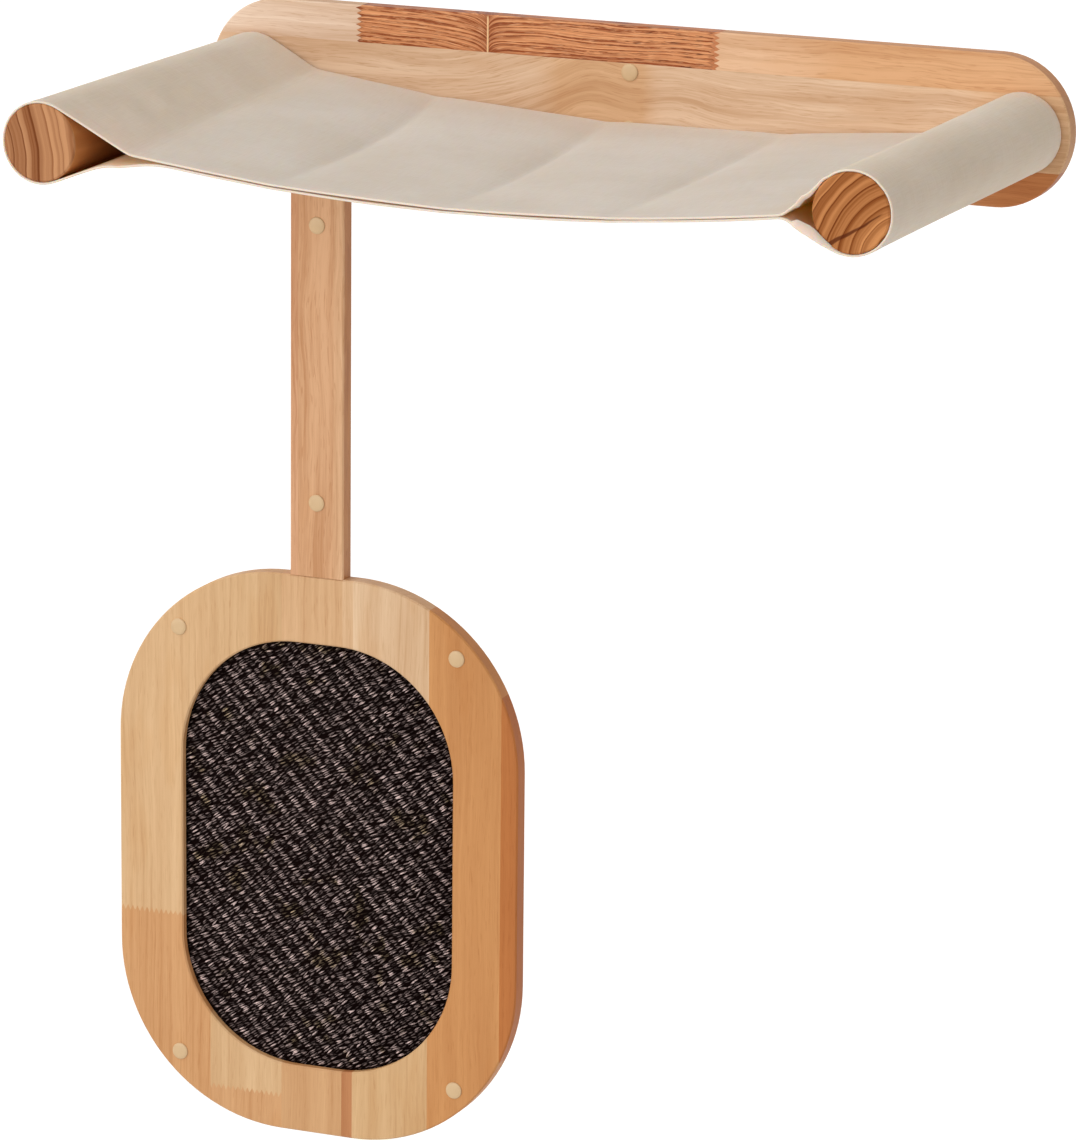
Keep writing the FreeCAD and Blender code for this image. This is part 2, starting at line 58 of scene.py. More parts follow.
class Graph:
    """Short names for the nodes of one material."""

    def __init__(self, name):
        self.material = bpy.data.materials.new(name)
        self.material.use_nodes = True
        self.tree = self.material.node_tree
        self.shader = next(n for n in self.tree.nodes if n.type == "BSDF_PRINCIPLED")
        self.place = self.add("ShaderNodeTexCoord").outputs["Object"]

    def add(self, kind, **settings):
        node = self.tree.nodes.new(kind)
        for key, value in settings.items():
            setattr(node, key, value)
        return node

    def feed(self, socket, value):
        if isinstance(value, bpy.types.NodeSocket):
            self.tree.links.new(value, socket)
        else:
            socket.default_value = value

    def math(self, operation, *values):
        node = self.add("ShaderNodeMath", operation=operation)
        for socket, value in zip(node.inputs, values):
            self.feed(socket, value)
        return node.outputs[0]

    def total(self, *values):
        result = values[0]
        for value in values[1:]:
            result = self.math("ADD", result, value)
        return result

    def product(self, *values):
        result = values[0]
        for value in values[1:]:
            result = self.math("MULTIPLY", result, value)
        return result

    def scale_add(self, value, factor, offset):
        return self.math("MULTIPLY_ADD", value, factor, offset)

    def distance(self, first, second):
        """How far off a line a point is, from its two distances square to it."""
        squares = [self.math("POWER", value, 2.0) for value in (first, second)]
        return self.math("SQRT", self.total(*squares))

    def split(self, vector):
        node = self.add("ShaderNodeSeparateXYZ")
        self.feed(node.inputs[0], vector)
        return node.outputs

    def millimetres(self, vector):
        """The three parts of a vector in metres, in millimetres."""
        return [self.product(axis, 1 / MM) for axis in self.split(vector)]

    def join(self, x, y, z):
        node = self.add("ShaderNodeCombineXYZ")
        for socket, value in zip(node.inputs, (x, y, z)):
            self.feed(socket, value)
        return node.outputs[0]

    def scaled(self, axes, scales):
        return self.join(*[self.product(axis, scale) for axis, scale in zip(axes, scales)])

    def sideways(self):
        """1 on the edges of a board, 0 on its front and back."""
        normal = self.add("ShaderNodeNewGeometry").outputs["Normal"]
        return self.step(self.math("ABSOLUTE", self.split(normal)[1]), 0.75, 0.45)

    def attribute(self, name):
        """A value that the mesh holds for each of its points."""
        return self.add("ShaderNodeAttribute", attribute_name=name).outputs["Fac"]

    def noise(self, place, scale=1.0, detail=2.0, roughness=0.5, distortion=0.0):
        node = self.add("ShaderNodeTexNoise")
        self.feed(node.inputs["Vector"], place)
        for name, value in (("Scale", scale), ("Detail", detail), ("Roughness", roughness),
                            ("Distortion", distortion)):
            node.inputs[name].default_value = value
        return node.outputs["Fac"]

    def step(self, value, low, high):
        """0 at low and 1 at high, smooth between them; low may be the higher of the two."""
        node = self.add("ShaderNodeMapRange", interpolation_type="SMOOTHSTEP")
        self.feed(node.inputs["Value"], value)
        node.inputs["From Min"].default_value = low
        node.inputs["From Max"].default_value = high
        return node.outputs["Result"]

    def ramp(self, factor, stops, interpolation="LINEAR"):
        node = self.add("ShaderNodeValToRGB")
        node.color_ramp.interpolation = interpolation
        for number, (position, colour) in enumerate(stops):
            if number < 2:
                element = node.color_ramp.elements[number]
            else:
                element = node.color_ramp.elements.new(position)
            element.position = position
            element.color = colour
        self.feed(node.inputs[0], factor)
        return node.outputs["Color"]

    def mix(self, factor, first, second, blend="MIX"):
        node = self.add("ShaderNodeMix", data_type="RGBA", blend_type=blend)
        self.feed(node.inputs["Factor"], factor)
        self.feed(node.inputs[6], first)
        self.feed(node.inputs[7], second)
        return node.outputs[2]

    def tinted(self, colour, tint):
        return self.mix(1.0, colour, tint, "MULTIPLY")

    def bump(self, height, strength, distance):
        node = self.add("ShaderNodeBump")
        node.inputs["Strength"].default_value = strength
        node.inputs["Distance"].default_value = distance
        self.feed(node.inputs["Height"], height)
        self.feed(self.shader.inputs["Normal"], node.outputs[0])

    def finish(self, colour, roughness, flat={}):
        """Ends the material. flat has the shader's sockets that are the same all over."""
        self.feed(self.shader.inputs["Base Color"], colour)
        self.feed(self.shader.inputs["Roughness"], roughness)
        for name, value in flat.items():
            self.shader.inputs[name].default_value = value
        return self.material


# ---------------------------------------------------------------- wood

SATIN = {"Specular IOR Level": 0.18}
RUBBED = {"Specular IOR Level": 0.08}

# Strips of a glued-up board: the upper edge of each strip across the grain, and in it the end of
# each piece along the grain with the piece's colour.
BACKBOARD_STRIPS = [
    (-25, [(90, srgb(206, 156, 110)), (400, srgb(196, 134, 86))]),
    (25, [(400, srgb(220, 188, 158))]),
    (60, [(-194, srgb(226, 200, 178)), (60, srgb(200, 132, 90)), (400, srgb(224, 184, 149))]),
]
POST_STRIPS = [
    (-240.5, [(0, srgb(206, 156, 119))]),
    (-214, [(0, srgb(207, 160, 121))]),
    (-200, [(0, srgb(214, 171, 133))]),
]
FRAME_STRIPS = [
    (-308, [(-600, srgb(203, 153, 106)), (-300, srgb(211, 174, 132))]),
    (-253, [(-722, srgb(203, 155, 110)), (-300, srgb(208, 171, 129))]),
    (-207, [(-545, srgb(202, 157, 113)), (-300, srgb(210, 170, 129))]),
    (-199, [(-545, srgb(180, 122, 80)), (-300, srgb(216, 180, 142))]),
    (-142, [(-545, srgb(206, 168, 124)), (-300, srgb(216, 183, 148))]),
    (-88, [(-300, srgb(198, 141, 88))]),
    (-60, [(-300, srgb(179, 110, 57))]),
]
# The piece with heavy grain: its left and right end, its lower and upper edge and its butt joint.
HEAVY_GRAIN = (-194, 60, 25, 60, -102)
# The grain lines below it arch over these places: centre along the board and height of each arch.
ARCHES = ((-28.0, 7.0), (34.0, 6.0))
ARCH_WIDTH = 24.0
FINGER_PITCH = 3.7
FINGER_DEPTH = 3.6
# Painted shade: this tint darkens the side faces of the boards.
EDGE_SHADE_TINT = (1.0, 0.88, 0.77, 1.0)
DARK_TINT = (0.82, 0.71, 0.60, 1.0)
LIGHT_TINT = (1.09, 1.12, 1.14, 1.0)
WARM_TINT = (0.92, 0.81, 0.67, 1.0)


def zigzag(graph, along, across):
    """The place along the grain, moved to and fro across it in the steps of a finger joint."""
    share = graph.math("FRACT", graph.product(across, 1 / FINGER_PITCH))
    uneven = graph.noise(graph.join(graph.product(across, 0.45), 3.0, 5.0), detail=1.0)
    size = graph.scale_add(uneven, 2.4 * FINGER_DEPTH, 0.8 * FINGER_DEPTH)
    return graph.scale_add(graph.math("ABSOLUTE", graph.total(share, -0.5)), size, along)


def board_colour(graph, along, across, strips):
    """Each piece's own colour, with finger joints between the pieces of a strip."""
    low, high = -800.0, 500.0
    position = graph.product(graph.total(zigzag(graph, along, across), -low), 1 / (high - low))
    colour = None
    previous = None
    for upper, pieces in strips:
        starts = [low] + [end for end, _ in pieces[:-1]]
        stops = [((start - low) / (high - low), tone) for start, (_, tone) in zip(starts, pieces)]
        strip = graph.ramp(position, stops, "CONSTANT") if len(stops) > 1 else pieces[0][1]
        if colour is None:
            colour = strip
        else:
            colour = graph.mix(graph.math("GREATER_THAN", across, previous), colour, strip)
        previous = upper
    return colour


def wood(name, grain, strips, contrast, waves, edge_shade_tint=EDGE_SHADE_TINT, swept=False, heavy=None):
    """Lacquered rubberwood boards. grain is the axis of the fibres, 0 or 2; waves is how far the
    grain lines wander, in millimetres; heavy is the place of a piece with heavy grain."""
    graph = Graph(name)
    axes = graph.millimetres(graph.place)
    along, depth, across = axes[grain], axes[1], axes[2 - grain]
    base = board_colour(graph, along, across, strips)
    hashed = graph.add("ShaderNodeTexWhiteNoise", noise_dimensions="3D")
    graph.feed(hashed.inputs["Vector"], base)
    seed = hashed.outputs["Value"]
    shifted = graph.scale_add(seed, 900.0, along)

    def grain_noise(lengthwise, crosswise, detail, roughness=0.5, side=across):
        place = graph.scaled((shifted, side, depth), (lengthwise, crosswise, crosswise))
        return graph.total(graph.noise(place, detail=detail, roughness=roughness), -0.5)

    warp = grain_noise(0.009, 0.022, 2.0)
    bent = graph.scale_add(warp, 2 * waves, across)
    lined, warm_and_shaded = 1.0, 0.0
    if swept:
        bent, lined, warm_and_shaded = swept_grain(graph, along, across, bent)
    broad = grain_noise(0.004, 0.06, 2.0, side=bent)
    streak = grain_noise(0.007, 0.30, 3.0, 0.6, side=bent)
    fibre = grain_noise(0.03, 1.3, 2.0, 0.6, side=bent)
    pores = graph.step(grain_noise(0.10, 1.7, 0.0, side=bent), 0.15, 0.26)
    radius = graph.distance(graph.scale_add(seed, 160.0, bent), graph.total(depth, 45.0))
    wave = graph.math("SINE", graph.scale_add(broad, 14.0, graph.product(radius, 1.05)))
    patches = graph.step(grain_noise(0.006, 0.05, 1.0), -0.05, 0.2)
    lines = graph.product(graph.step(wave, 0.55, 1.0), patches, lined)
    clouds = graph.step(grain_noise(0.012, 0.045, 2.0), 0.06, 0.22)
    blotch_and_shade = graph.total(graph.product(clouds, 0.35), warm_and_shaded)
    shade = graph.total(
        0.62,
        graph.product(broad, 1.3 * contrast),
        graph.product(streak, 1.0 * contrast),
        graph.product(fibre, 0.6 * contrast),
        graph.product(lines, -0.32 * contrast),
        graph.product(pores, -0.30 * contrast),
    )
    colour = graph.mix(shade, graph.tinted(base, DARK_TINT), graph.tinted(base, LIGHT_TINT))
    # Warmer, darker clouds of the wood's own tone, and the painted shade on the backboard's right tip.
    colour = graph.mix(blotch_and_shade, colour, graph.tinted(colour, WARM_TINT))
    if heavy:
        colour = heavy_grain(graph, colour, along, across, depth, heavy)
    # Painted shade on the side faces of the board.
    colour = graph.mix(graph.sideways(), colour, graph.tinted(colour, edge_shade_tint))
    graph.bump(graph.total(fibre, graph.product(pores, -0.5)), 0.25, 0.00015)
    return graph.finish(colour, graph.scale_add(streak, 0.3, 0.46), SATIN)


def swept_grain(graph, along, across, bent):
    """Grain lines that run level on the left and sweep upwards, then fade over two faint arches.
    Gives the bent place across the grain, the strength of the lines, and where the wood takes a warmer
    tone, together with painted shade on its right tip beyond the right sleeve."""
    swept = graph.scale_add(graph.step(along, -150.0, -10.0), -24.0, bent)
    for centre, height in ARCHES:
        span = graph.math("POWER", graph.product(graph.total(along, -centre), 1 / ARCH_WIDTH), 2.0)
        arch = graph.math("EXPONENT", graph.product(span, -1.0))
        swept = graph.scale_add(arch, -height, swept)
    level = graph.step(along, -10.0, -100.0)
    lower = graph.step(across, 26.0, 24.0)
    strength = graph.scale_add(graph.product(level, lower), 1.2, 0.3)
    warm_and_shaded = graph.product(graph.step(along, -75.0, -35.0), graph.step(along, 25.0, 0.0), lower)
    upper_right = graph.product(graph.step(along, 70.0, 230.0), graph.step(across, 24.0, 26.0))
    # Painted shade: the right tip of the backboard, beyond the right sleeve, is darkened to a warmer tone.
    right_tip_shade = graph.product(graph.step(along, 225.0, 290.0), lower, 1.8)
    warm_and_shaded = graph.total(graph.product(upper_right, 2.0), graph.product(warm_and_shaded, 1.4), right_tip_shade)
    return swept, strength, warm_and_shaded


def heavy_grain(graph, colour, along, across, depth, region):
    """A piece with strong dark grain whose lines dip towards a butt joint in its middle."""
    left, right, low, high, joint = region
    tooth = zigzag(graph, along, across)
    inside = graph.product(
        graph.step(tooth, left - 0.3, left + 0.3), graph.step(tooth, right + 0.3, right - 0.3),
        graph.step(across, low - 0.2, low + 0.2), graph.step(across, high + 0.2, high - 0.2),
    )
    from_joint = graph.total(along, -joint)
    distance = graph.math("ABSOLUTE", from_joint)
    nearness = graph.math("EXPONENT", graph.product(distance, -1 / 8))
    left_half = graph.step(from_joint, 0.5, -0.5)
    right_half = graph.math("SUBTRACT", 1.0, left_half)
    wander = graph.total(graph.noise(graph.scaled((along, across, depth), (0.012, 0.05, 0.05))), -0.5)
    bent = graph.total(
        across,
        graph.product(nearness, left_half, 6.5),
        graph.product(graph.math("EXPONENT", graph.product(distance, -1 / 4)), right_half, 6.0),
        graph.product(wander, 7.0),
        graph.product(from_joint, left_half, 0.05),
    )
    uneven = graph.noise(graph.scaled((along, bent, depth), (0.006, 0.30, 0.2)), detail=1.0)
    turn = graph.math("FRACT", graph.scale_add(uneven, 1.8, graph.product(bent, 1 / 3.1)))
    groove = graph.product(graph.step(turn, 0.35, 0.8), graph.step(turn, 1.0, 0.9))
    streaks = graph.noise(graph.scaled((along, bent, depth), (0.02, 1.1, 0.5)), detail=3.0, roughness=0.65)
    breaks = graph.noise(graph.scaled((along, bent, depth), (0.07, 0.5, 0.2)), detail=3.0, roughness=0.75)
    towards_right = graph.step(from_joint, 20.0, 150.0)
    specks = graph.noise(graph.scaled((along, bent, depth), (0.11, 1.9, 1.0)), detail=1.0)
    dashes = graph.product(graph.step(specks, 0.54, 0.62), graph.step(turn, 0.3, 0.7))
    shade = graph.total(
        graph.product(groove, graph.step(breaks, 0.35, 0.55), 0.85),
        graph.product(graph.step(streaks, 0.35, 0.65), 0.65),
        graph.product(nearness, 0.6),
        graph.product(graph.step(across, low + 5, low + 1), right_half, 0.35),
        graph.product(right_half, -0.10),
        -0.06,
    )
    grained = graph.mix(shade, srgb(225, 157, 107), srgb(146, 72, 33))
    density = graph.scale_add(towards_right, 0.5, 0.45)
    grained = graph.mix(graph.product(dashes, density), grained, srgb(84, 36, 16))
    flecks = graph.noise(graph.scaled((along, bent, depth), (0.09, 1.5, 2.0)), detail=1.0)
    grained = graph.mix(graph.product(graph.step(flecks, 0.58, 0.68), 0.5), grained, srgb(238, 184, 138))
    upper = graph.step(across, high - 8, high - 3)
    grained = graph.mix(graph.product(upper, 0.55), grained, srgb(226, 172, 126))
    tips = graph.product(
        graph.math("MAXIMUM", graph.step(tooth, left + 3.0, left), graph.step(tooth, right - 3.0, right)),
        graph.step(breaks, 0.4, 0.55),
    )
    grained = graph.mix(graph.product(tips, 0.6), grained, srgb(120, 60, 32))
    glue = graph.product(graph.step(distance, 0.8, 0.35), graph.step(across, high - 10, high - 12))
    grained = graph.mix(graph.product(glue, 0.85), grained, srgb(246, 206, 156))
    return graph.mix(inside, colour, grained)


def rod_wood(name, rings, pitch, light, dark, sides, check=None):
    """Turned rubberwood whose front end shows its rings as arcs round a far centre: each ring
    darkens slowly outwards to a thin dark line. sides has the two tones of the long side. A drying
    check follows the line through two points of the end."""
    graph = Graph(name)
    x, y, z = graph.millimetres(graph.place)
    radius = graph.distance(graph.total(x, -rings[0]), graph.total(z, -rings[1]))
    wander = graph.total(graph.noise(graph.scaled((x, y, z), (0.045, 0.006, 0.045)), detail=1.0), -0.5)
    radius = graph.scale_add(wander, 3.5, radius)
    lengthwise = graph.product(y, 0.004)
    uneven = graph.total(graph.noise(graph.join(graph.product(radius, 0.06), lengthwise, rings[0])), -0.5)
    turn = graph.math("FRACT", graph.scale_add(uneven, 0.9, graph.product(radius, 1 / pitch)))
    slow = graph.math("POWER", turn, 1.6)
    line = graph.product(graph.step(turn, 0.86, 0.95), graph.step(turn, 1.0, 0.965))
    streaks = graph.noise(graph.join(graph.product(radius, 0.30), lengthwise, rings[1]))
    broad = graph.noise(graph.join(graph.product(radius, 0.05), lengthwise, pitch), detail=1.0)
    fibre = graph.noise(graph.scaled((x, y, z), (1.3, 0.02, 1.3)), detail=2.0)
    shade = graph.total(
        graph.product(slow, 0.55), graph.product(graph.step(streaks, 0.35, 0.65), 0.55),
        graph.product(graph.step(broad, 0.35, 0.65), 0.35), -0.15,
    )
    colour = graph.mix(shade, light, dark)
    deep = graph.tinted(dark, (0.55, 0.38, 0.22, 1))
    colour = graph.mix(graph.product(line, graph.step(broad, 0.3, 0.6), 0.75), colour, deep)
    paler = graph.product(graph.total(fibre, -0.3), 0.5)
    colour = graph.mix(paler, colour, graph.tinted(colour, LIGHT_TINT))
    long_side = graph.mix(graph.product(graph.total(shade, line), 0.45), *sides)
    colour = graph.mix(graph.sideways(), colour, long_side)
    if check:
        (x0, z0), (x1, z1) = check
        length = math.hypot(x1 - x0, z1 - z0)
        run = ((x1 - x0) / length, (z1 - z0) / length)
        start = graph.total(graph.product(x, run[0]), graph.product(z, run[1]), -x0 * run[0] - z0 * run[1])
        aside = graph.total(graph.product(x, -run[1]), graph.product(z, run[0]), x0 * run[1] - z0 * run[0])
        aside = graph.scale_add(wander, 9.0, aside)
        width = graph.scale_add(start, -1.1 / length, 1.9)
        crack = graph.product(
            graph.step(graph.math("SUBTRACT", graph.math("ABSOLUTE", aside), width), 0.0, -0.9),
            graph.step(start, 0.0, 2.0), graph.step(start, length, length - 5.0),
        )
        colour = graph.mix(graph.product(crack, 0.85), colour, srgb(84, 30, 2))
    graph.bump(graph.total(graph.product(fibre, 0.8), graph.product(line, -0.6)), 0.3, 0.00015)
    return graph.finish(colour, graph.scale_add(fibre, 0.2, 0.5), RUBBED)


def plywood():
    """Raw plywood: fibres along x and thin darker plies at its edge."""
    graph = Graph("plywood")
    x, y, z = graph.millimetres(graph.place)
    fibre = graph.noise(graph.scaled((x, y, z), (0.04, 1.2, 1.2)), detail=3.0)
    streaks = graph.product(graph.step(fibre, 0.3, 0.75), 0.5)
    colour = graph.mix(streaks, srgb(216, 180, 134), srgb(186, 142, 98))
    ply = graph.step(graph.math("FRACT", y), 0.45, 0.55)
    colour = graph.mix(graph.product(ply, graph.sideways(), 0.45), colour, srgb(140, 98, 64))
    graph.bump(fibre, 0.3, 0.0002)
    return graph.finish(colour, 0.7)


# ---------------------------------------------------------------- other materials


def metal(name, colour, roughness):
    """Brushed metal, a little dull in spots."""
    graph = Graph(name)
    x, y, z = graph.millimetres(graph.place)
    brushed = graph.noise(graph.scaled((x, y, z), (2.0, 0.2, 2.0)), detail=3.0)
    spots = graph.noise(graph.scaled((x, y, z), (0.3, 0.3, 0.3)), detail=2.0)
    dull = graph.tinted(colour, srgb(200, 196, 184))
    tinted = graph.mix(graph.product(spots, 0.4), colour, dull)
    graph.bump(brushed, 0.2, 0.00005)
    return graph.finish(tinted, graph.scale_add(brushed, 0.15, roughness), {"Metallic": 1.0})


def cap_plastic():
    """Cream plastic with a fine grain."""
    graph = Graph("cap_plastic")
    x, y, z = graph.millimetres(graph.place)
    grain = graph.noise(graph.scaled((x, y, z), (3.0, 3.0, 3.0)), detail=2.0)
    cloud = graph.noise(graph.scaled((x, y, z), (0.15, 0.15, 0.15)), detail=1.0)
    colour = graph.mix(cloud, srgb(210, 179, 137), srgb(201, 168, 126))
    graph.bump(grain, 0.15, 0.00008)
    return graph.finish(colour, graph.scale_add(grain, 0.1, 0.42))


WEAVE_PITCH = 1.1
SEAT_TINT = (0.955, 1.01, 1.09, 1.0)
CLOTH_FINISH = {
    "Specular IOR Level": 0.15, "Subsurface Weight": 0.7, "Subsurface Scale": 0.004,
    "Subsurface Radius": (1.0, 0.55, 0.3),
}


def canvas_cloth():
    """Plain weave with slubs, with a painted highlight on the rims of the hems and painted warm bounce
    light on the inner side of the cloth. The weave follows the cloth's own u and v, in metres.
    """
    graph = Graph("canvas")
    u, v, _ = graph.millimetres(graph.add("ShaderNodeUVMap").outputs[0])
    warp, weft = [graph.math("SINE", graph.product(axis, 2 * math.pi / WEAVE_PITCH)) for axis in (u, v)]
    weave = graph.product(warp, weft)
    slub_u = graph.noise(graph.join(graph.product(u, 0.05), graph.product(v, 1.6), 0.0), detail=2.0)
    slub_v = graph.noise(graph.join(graph.product(u, 1.6), graph.product(v, 0.05), 7.0), detail=2.0)
    cloud = graph.noise(graph.join(graph.product(u, 0.012), graph.product(v, 0.012), 3.0), detail=3.0)
    colour = graph.mix(graph.step(cloud, 0.3, 0.7), srgb(216, 197, 178), srgb(222, 204, 187))
    x = graph.millimetres(graph.place)[0]
    seat = graph.product(graph.step(x, -225.0, -190.0), graph.step(x, 235.0, 200.0))
    colour = graph.mix(graph.product(seat, 0.85), colour, graph.tinted(colour, SEAT_TINT))
    threads = graph.total(graph.product(slub_u, 0.5), graph.product(slub_v, 0.5))
    dimmer = graph.tinted(colour, srgb(249, 246, 242))
    colour = graph.mix(graph.step(threads, 0.40, 0.64), colour, dimmer)
    colour = graph.mix(graph.product(graph.step(weave, 0.2, -1.0), 0.05), colour, srgb(180, 166, 150))
    # Painted warm bounce light: the inner side of the cloth is tinted lighter and more orange.
    colour = graph.mix(graph.attribute("inside"), colour, srgb(240, 213, 180))
    # Painted highlight on the rims of the hems, and a faint one over the hem bands.
    colour = graph.mix(graph.product(graph.attribute("hem"), 0.55), colour, srgb(240, 222, 210))
    height = graph.total(graph.product(weave, 0.5), graph.product(threads, 1.2))
    graph.bump(height, 0.25, 0.0001)
    return graph.finish(colour, 0.9, CLOTH_FINISH)


def thread_cloth():
    """Sewing thread, a little lighter than the canvas."""
    graph = Graph("thread")
    x, y, z = graph.millimetres(graph.place)
    twist = graph.noise(graph.scaled((x, y, z), (3.0, 3.0, 3.0)), detail=1.0)
    colour = graph.mix(twist, srgb(208, 195, 178), srgb(220, 208, 192))
    graph.bump(twist, 0.4, 0.0001)
    return graph.finish(colour, 0.85, CLOTH_FINISH)


def mat_yarn():
    """Coarse dark yarn: every float has its own tone, with fibres along it. The tone also holds painted
    light: a highlight along each float's top, and painted shade on its sides, at its ends and near the
    frame's opening.
    """
    graph = Graph("woven_mat")
    x, y, z = graph.millimetres(graph.place)
    cosine, sine = math.cos(FLOAT_ANGLE), math.sin(FLOAT_ANGLE)
    run = graph.total(graph.product(x, cosine), graph.product(z, sine))
    side = graph.total(graph.product(x, -sine), graph.product(z, cosine))
    place = graph.join(graph.product(run, 0.30), graph.product(side, 1.1), y)
    fibre = graph.noise(place, detail=3.0, roughness=0.65)
    tone = graph.attribute("tone")
    patch = graph.noise(graph.scaled((x, y, z), (0.06, 0.06, 0.06)), detail=2.0)
    pale = graph.mix(graph.step(patch, 0.56, 0.70), srgb(226, 200, 196), srgb(190, 166, 136))
    light = graph.product(tone, graph.step(fibre, 0.32, 0.60))
    colour = graph.mix(light, srgb(18, 8, 7), pale)
    graph.bump(fibre, 0.7, 0.0004)
    return graph.finish(colour, 0.8, {"Specular IOR Level": 0.02})


# ---------------------------------------------------------------- mesh helpers


def new_piece(name, points, faces, material, body, slot):
    """A mesh piece from points in millimetres, riding on a body."""
    mesh = bpy.data.meshes.new(name)
    mesh.from_pydata((np.asarray(points) * MM).tolist(), [], faces)
    mesh.polygons.foreach_set("use_smooth", np.ones(len(mesh.polygons), bool))
    mesh.update()
    mesh.materials.append(material)
    piece = bpy.data.objects.new(name, mesh)
    bpy.context.scene.collection.objects.link(piece)
    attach(piece, body)
    return piece


def grid_faces(rows, columns):
    """Faces of a grid of points that is closed both ways."""
    faces = []
    for i in range(rows):
        following = (i + 1) % rows
        for j in range(columns):
            beside = (j + 1) % columns
            faces.append((i * columns + j, i * columns + beside,
                          following * columns + beside, following * columns + j))
    return faces


def tube_faces(base, rings, around):
    """Faces of a tube of points, ring after ring from the point base, closed at both ends."""
    faces = []
    for ring, k in itertools.product(range(rings - 1), range(around)):
        a = base + ring * around + k
        b = base + ring * around + (k + 1) % around
        faces.append((a, b, b + around, a + around))
    last = base + (rings - 1) * around
    faces.append(tuple(range(base, base + around))[::-1])
    faces.append(tuple(range(last, last + around)))
    return faces


def run_lengths(points):
    """How far along a line of points each of them is."""
    return np.concatenate([[0], np.cumsum(np.linalg.norm(np.diff(points, axis=0), axis=1))])


def add_values(piece, name, values):
    """Keeps a value for each point of the mesh, for its material."""
    attribute = piece.data.attributes.new(name, "FLOAT", "POINT")
    attribute.data.foreach_set("value", np.asarray(values, np.float32))


# ---------------------------------------------------------------- canvas sling

ROD_X = 273.0
ROD_RADIUS = 25.0
CLOTH = 1.3
LOOP_RADIUS = ROD_RADIUS + 0.5 + CLOTH / 2
FRONT_Y = -323.0
BACK_Y = -14.0
CLOTH_DEPTH = BACK_Y - FRONT_Y
# Where the seams of the sleeves start at the front edge and end at the wall: x and z.
LEFT_SEAM = ((-210.5, -3.0), (-226.0, 4.0))
RIGHT_SEAM = ((229.0, -5.0), (229.0, -3.5))
SEAT_SAG = 15.0
LINING_SLACK = 1.0
PANEL_CROWN = 1.3
FOLD_DEPTH = 4.2
FOLD_REACH = 11.0
HEM_WIDTH = 13.0
HEM_EXTRA = 0.15
SEAT_STEPS = 36
FREE_STEPS = 12
WRAP_STEPS = 30


def seam(ends, w):
    """The place of a seam at a depth w, from 0 at the front to 1 at the wall."""
    front, back = np.array(ends)
    return front + (back - front) * w


def fold_places(w):
    """The three folds of the seat: x at a depth w, from 0 at the front to 1 at the wall."""
    return (
        -112.0 - 26.0 * w ** 2.6,
        6.0 - 22.0 * w ** 2.2,
        116.0 - 6.0 * w,
    )


def seat_points(w, below):
    """From the left seam to the right one: crowned panels that dip sharply at the folds. The two
    edges of the cloth hang in one smooth curve."""
    start = seam(LEFT_SEAM, w) - (0, below)
    end = seam(RIGHT_SEAM, w) - (0, below)
    sag = SEAT_SAG + (LINING_SLACK if below else 0.0)

    def hanging(x):
        """The height of the cloth at x where it hangs freely."""
        share = (x - start[0]) / (end[0] - start[0])
        return start[1] + (end[1] - start[1]) * share - sag * 4 * share * (1 - share)

    folds = fold_places(w)
    knots = [start] + [np.array([x, hanging(x)]) for x in folds] + [end]
    ease = math.sin(math.pi * (0.01 + 0.93 * w)) ** 0.8
    points = []
    for first, second in zip(knots, knots[1:]):
        for number in range(SEAT_STEPS):
            q = number / SEAT_STEPS
            x, z = first + (second - first) * q
            crowned = z + PANEL_CROWN * 4 * q * (1 - q)
            dip = FOLD_DEPTH * sum(math.exp(-abs(x - fold) / FOLD_REACH) for fold in folds)
            points.append(np.array([x, hanging(x) * (1 - ease) + (crowned - dip) * ease]))
    return points


def sleeve_points(side, sewn):
    """Round one rod, from the upper layer at the place sewn over the rod to the lower layer."""
    centre = np.array([side * ROD_X, 0.0])
    halves = []
    for up, start in ((1, sewn), (-1, sewn - (0, CLOTH))):
        towards = start - centre
        leave = math.acos(LOOP_RADIUS / np.hypot(*towards))
        heading = math.atan2(towards[1], towards[0])
        touch = math.remainder(heading - side * up * leave, 2 * math.pi)
        far = 0.0 if side > 0 else up * math.pi
        touching = centre + LOOP_RADIUS * np.array([math.cos(touch), math.sin(touch)])
        half = [start + (touching - start) * n / FREE_STEPS for n in range(FREE_STEPS)]
        for n in range(WRAP_STEPS // 2):
            angle = touch + (far - touch) * n / (WRAP_STEPS // 2)
            half.append(centre + LOOP_RADIUS * np.array([math.cos(angle), math.sin(angle)]))
        halves.append(half)
    beyond = centre + (side * LOOP_RADIUS, 0.0)
    return halves[0] + [beyond] + halves[1][:0:-1]


def loop_points(w):
    """The whole belt of canvas at one depth: seat, right sleeve, lower layer, left sleeve."""
    left_end, right_end = seam(LEFT_SEAM, w), seam(RIGHT_SEAM, w)
    upper = seat_points(w, 0.0)
    right = sleeve_points(1, right_end)
    lower = [right_end - (0, CLOTH)] + seat_points(w, CLOTH)[:0:-1]
    left = [left_end - (0, CLOTH)] + sleeve_points(-1, left_end)[:0:-1]
    line = smoothed(np.array(upper + right + lower + left), 0.8)
    soft = smoothed(line, 9.0)
    under = np.exp(-((line[:, 0] - left_end[0]) / 22.0) ** 2)
    under[:len(upper) + len(right)] = 0.0
    under[len(upper) + len(right) + len(lower) + len(left) // 2:] = 0.0
    return line + (soft - line) * under[:, None]


def smoothed(points, sigma):
    """A closed line with its corners rounded."""
    reach = int(3 * sigma) + 1
    weights = np.exp(-0.5 * (np.arange(-reach, reach + 1) / sigma) ** 2)
    weights /= weights.sum()
    return sum(k * np.roll(points, shift, axis=0) for k, shift in zip(weights, range(-reach, reach + 1)))


